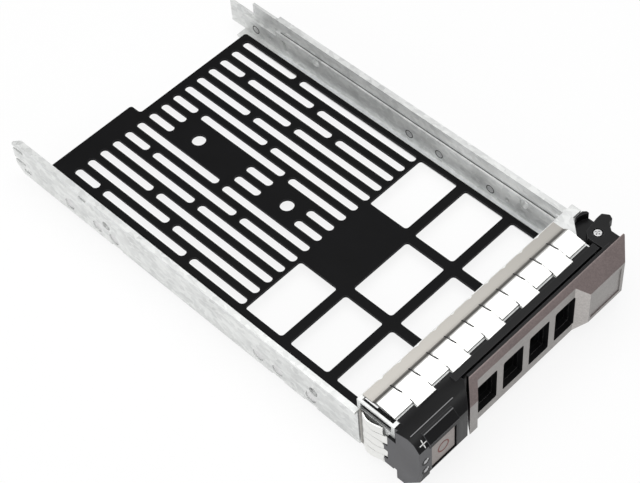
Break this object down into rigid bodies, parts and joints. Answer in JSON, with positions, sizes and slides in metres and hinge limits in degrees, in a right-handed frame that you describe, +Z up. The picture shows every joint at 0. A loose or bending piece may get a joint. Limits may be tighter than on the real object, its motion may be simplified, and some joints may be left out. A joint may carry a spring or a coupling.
{
  "type": "hot swap drive caddy",
  "caption": "Perforated black drive tray between two folded steel rails, with a sprung grounding gasket, a black bezel and a hinged front handle released by a push button.",
  "frame": {"origin": "top face of the tray, on the bay centreline, midway between the drive side screw holes", "axes": "+X across the bay towards the hinge, +Y towards the rear, +Z up"},
  "size_m": [0.1108, 0.1992, 0.029],
  "materials": {
    "tray_black": "satin black powder coat",
    "galvanised": "galvanised sheet with faint spangle",
    "rivet_steel": "bright rivets",
    "gasket_steel": "bright spring stainless",
    "bezel_black": "fine textured black plastic",
    "grille_black": "black",
    "clear_lens": "clear light pipe",
    "button_grey": "warm grey",
    "face_grey": "warm metallic grey with mauve bevel",
    "lever_black": "black",
    "spring_steel": "drawn wire",
    "screw_steel": "zinc plated"
  },
  "bodies": {
    "tray": {"base_plate": "tray_black", "left_inner_angle": "galvanised", "right_inner_angle": "galvanised", "left_side_rail": "galvanised", "right_side_rail": "galvanised", "left_rail_rivets": "rivet_steel", "right_rail_rivets": "rivet_steel", "plate_rivets": "rivet_steel", "front_frame": "galvanised", "top_gasket": "gasket_steel", "bottom_gasket": "gasket_steel", "left_gasket": "gasket_steel", "bezel_body": "bezel_black", "air_grille": "grille_black", "activity_light_pipe": "clear_lens", "status_light_pipe": "clear_lens", "latch_spring": "spring_steel", "handle_spring": "spring_steel"},
    "handle": {"handle_lever": "lever_black", "handle_face": "face_grey", "pivot_screw": "screw_steel"},
    "button": {"release_button": "button_grey"},
    "latch": {"latch_slider": "bezel_black"}
  },
  "joints": [
    {"name": "handle_hinge", "type": "hinge", "parent": "tray", "child": "handle", "pos_m": [0.048, -0.0842, 0.01], "axis": [0, 0, 1], "range_deg": [0, 50]},
    {"name": "button_press", "type": "slide", "parent": "tray", "child": "button", "axis": [0, 1, 0], "range_m": [0, 0.0025], "stiffness_N_per_m": 300, "springref_m": -0.001},
    {"name": "latch_slide", "type": "slide", "parent": "tray", "child": "latch", "axis": [-1, 0, 0], "range_m": [0, 0.0015], "deforming": ["latch_spring"]}
  ],
  "couplings": [
    {"joint": "latch_slide", "follows": "button_press", "ratio": 0.6}
  ]
}
